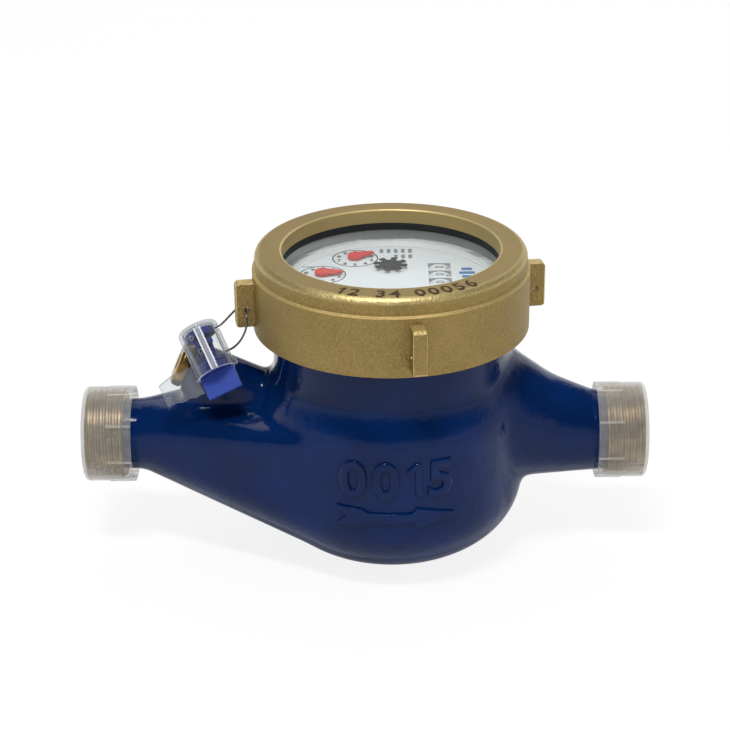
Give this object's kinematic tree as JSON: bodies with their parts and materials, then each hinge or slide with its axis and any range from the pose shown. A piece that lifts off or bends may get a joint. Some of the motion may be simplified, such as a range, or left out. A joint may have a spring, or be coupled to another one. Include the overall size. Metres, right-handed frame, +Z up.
{
  "type": "water meter",
  "caption": "Multi-jet dry-dial water meter with a painted bowl body, threaded pipe ends under push-on caps, a cast retaining ring and a wired tamper seal.",
  "frame": {"origin": "centre of the flat base, straight below the register axis", "axes": "+X along the flow from inlet to outlet, +Z up through the register"},
  "size_m": [0.167, 0.0904, 0.093],
  "materials": {
    "blue_paint": "glossy navy paint over cast brass, bare on the pipe threads",
    "cast_brass": "sand-cast sides, machined top",
    "window": "clear polished",
    "black_rubber": "matt",
    "white_plastic": "satin white",
    "grey_plastic": "satin grey",
    "ivory_plastic": "satin ivory",
    "steel": "drawn",
    "turned_brass": "turned",
    "clear_plastic": "clear moulded",
    "blue_plastic": "moulded blue",
    "jewel": "polished",
    "magnet": "sintered",
    "gear_plastic": "natural moulded",
    "dark_plastic": "satin dark grey",
    "red_plastic": "moulded red",
    "milky_plastic": "translucent milky"
  },
  "bodies": {
    "meter": {"meter_body": "blue_paint", "retaining_ring": "cast_brass", "glass_window": "window", "glass_gasket": "black_rubber", "register_cup": "white_plastic", "dial_plate": "white_plastic", "bridge_plate": "grey_plastic", "magnetic_shield": "steel", "pressure_plate": "grey_plastic", "body_o_ring": "black_rubber", "chamber_cup": "ivory_plastic", "chamber_gasket": "black_rubber", "chamber_cover": "ivory_plastic", "strainer": "grey_plastic", "pivot_pin": "steel", "regulator_screw": "turned_brass", "regulator_o_ring": "black_rubber", "regulator_plug": "turned_brass", "seal_housing": "clear_plastic", "seal_rotor": "blue_plastic", "seal_wire": "steel", "wheel_shaft": "steel"},
    "impeller": {"impeller": "white_plastic", "impeller_bearing": "jewel", "drive_magnet": "magnet"},
    "magnet_drive": {"magnet_arbor": "gear_plastic", "driven_magnet": "magnet"},
    "star": {"star_arbor": "gear_plastic", "star_wheel": "dark_plastic"},
    "idler": {"idler_gear": "gear_plastic"},
    "pointer_1": {"pointer_arbor_1": "gear_plastic", "pointer_1": "red_plastic"},
    "pointer_2": {"pointer_arbor_2": "gear_plastic", "pointer_2": "red_plastic"},
    "pointer_3": {"pointer_arbor_3": "gear_plastic", "pointer_3": "red_plastic"},
    "pointer_4": {"pointer_arbor_4": "gear_plastic", "pointer_4": "red_plastic"},
    "step_1": {"step_gear_1": "gear_plastic"},
    "step_2": {"step_gear_2": "gear_plastic"},
    "step_3": {"step_gear_3": "gear_plastic"},
    "carrier": {"carrier_gear": "gear_plastic"},
    "wheel_drive": {"wheel_drive_gear": "gear_plastic"},
    "number_1": {"number_wheel_1": "white_plastic"},
    "number_2": {"number_wheel_2": "white_plastic"},
    "number_3": {"number_wheel_3": "white_plastic"},
    "number_4": {"number_wheel_4": "white_plastic"},
    "number_5": {"number_wheel_5": "white_plastic"},
    "inlet_cap": {"inlet_cap": "milky_plastic"},
    "outlet_cap": {"outlet_cap": "milky_plastic"}
  },
  "joints": [
    {"name": "impeller_spin", "type": "hinge", "parent": "meter", "child": "impeller", "pos_m": [0, 0, 0.025], "axis": [0, 0, 1], "continuous": true},
    {"name": "magnet_spin", "type": "hinge", "parent": "meter", "child": "magnet_drive", "pos_m": [0, 0, 0.068], "axis": [0, 0, 1], "continuous": true},
    {"name": "star_spin", "type": "hinge", "parent": "meter", "child": "star", "pos_m": [0, 0.0128, 0.07], "axis": [0, 0, 1], "continuous": true},
    {"name": "idler_spin", "type": "hinge", "parent": "meter", "child": "idler", "pos_m": [-0.0056, 0.01299, 0.07], "axis": [0, 0, 1], "continuous": true},
    {"name": "pointer_1_spin", "type": "hinge", "parent": "meter", "child": "pointer_1", "pos_m": [-0.0105, 0.0203, 0.07], "axis": [0, 0, 1], "continuous": true},
    {"name": "step_1_spin", "type": "hinge", "parent": "meter", "child": "step_1", "pos_m": [-0.01387, 0.01305, 0.07], "axis": [0, 0, 1], "continuous": true},
    {"name": "pointer_2_spin", "type": "hinge", "parent": "meter", "child": "pointer_2", "pos_m": [-0.02, 0.0073, 0.07], "axis": [0, 0, 1], "continuous": true},
    {"name": "step_2_spin", "type": "hinge", "parent": "meter", "child": "step_2", "pos_m": [-0.01627, 0.00022, 0.07], "axis": [0, 0, 1], "continuous": true},
    {"name": "pointer_3_spin", "type": "hinge", "parent": "meter", "child": "pointer_3", "pos_m": [-0.02, -0.0073, 0.07], "axis": [0, 0, 1], "continuous": true},
    {"name": "step_3_spin", "type": "hinge", "parent": "meter", "child": "step_3", "pos_m": [-0.0128, -0.0108, 0.07], "axis": [0, 0, 1], "continuous": true},
    {"name": "pointer_4_spin", "type": "hinge", "parent": "meter", "child": "pointer_4", "pos_m": [-0.011, -0.019, 0.07], "axis": [0, 0, 1], "continuous": true},
    {"name": "carrier_spin", "type": "hinge", "parent": "meter", "child": "carrier", "pos_m": [-0.00151, -0.01305, 0.07], "axis": [0, 0, 1], "continuous": true},
    {"name": "wheel_drive_spin", "type": "hinge", "parent": "meter", "child": "wheel_drive", "pos_m": [0.0144, -0.01474, 0.07], "axis": [0, 0, 1], "continuous": true},
    {"name": "number_5_spin", "type": "hinge", "parent": "meter", "child": "number_5", "pos_m": [0.0144, -0.0102, 0.0762], "axis": [0, 1, 0], "continuous": true},
    {"name": "number_4_spin", "type": "hinge", "parent": "meter", "child": "number_4", "pos_m": [0.0144, -0.0043, 0.0762], "axis": [0, 1, 0], "continuous": true},
    {"name": "number_3_spin", "type": "hinge", "parent": "meter", "child": "number_3", "pos_m": [0.0144, 0.0016, 0.0762], "axis": [0, 1, 0], "continuous": true},
    {"name": "number_2_spin", "type": "hinge", "parent": "meter", "child": "number_2", "pos_m": [0.0144, 0.0075, 0.0762], "axis": [0, 1, 0], "continuous": true},
    {"name": "number_1_spin", "type": "hinge", "parent": "meter", "child": "number_1", "pos_m": [0.0144, 0.0134, 0.0762], "axis": [0, 1, 0], "continuous": true},
    {"name": "inlet_cap_pull", "type": "slide", "parent": "meter", "child": "inlet_cap", "axis": [-1, 0, 0], "range_m": [0, 0.07]},
    {"name": "outlet_cap_pull", "type": "slide", "parent": "meter", "child": "outlet_cap", "axis": [1, 0, 0], "range_m": [0, 0.07]}
  ],
  "couplings": [
    {"joint": "magnet_spin", "follows": "impeller_spin", "ratio": 1},
    {"joint": "star_spin", "follows": "impeller_spin", "ratio": -0.11111},
    {"joint": "idler_spin", "follows": "impeller_spin", "ratio": 0.044444},
    {"joint": "pointer_1_spin", "follows": "impeller_spin", "ratio": -0.037037},
    {"joint": "step_1_spin", "follows": "impeller_spin", "ratio": 0.0092593},
    {"joint": "pointer_2_spin", "follows": "impeller_spin", "ratio": -0.0037037},
    {"joint": "step_2_spin", "follows": "impeller_spin", "ratio": 0.00092593},
    {"joint": "pointer_3_spin", "follows": "impeller_spin", "ratio": -0.00037037},
    {"joint": "step_3_spin", "follows": "impeller_spin", "ratio": 0.000092593},
    {"joint": "pointer_4_spin", "follows": "impeller_spin", "ratio": -0.000037037},
    {"joint": "carrier_spin", "follows": "impeller_spin", "ratio": 0.0000061728},
    {"joint": "wheel_drive_spin", "follows": "impeller_spin", "ratio": -0.0000092593},
    {"joint": "number_5_spin", "follows": "impeller_spin", "ratio": -0.0000037037},
    {"joint": "number_4_spin", "follows": "impeller_spin", "ratio": -0.00000037037},
    {"joint": "number_3_spin", "follows": "impeller_spin", "ratio": -0.000000037037},
    {"joint": "number_2_spin", "follows": "impeller_spin", "ratio": -0.0000000037037},
    {"joint": "number_1_spin", "follows": "impeller_spin", "ratio": -0.00000000037037}
  ]
}
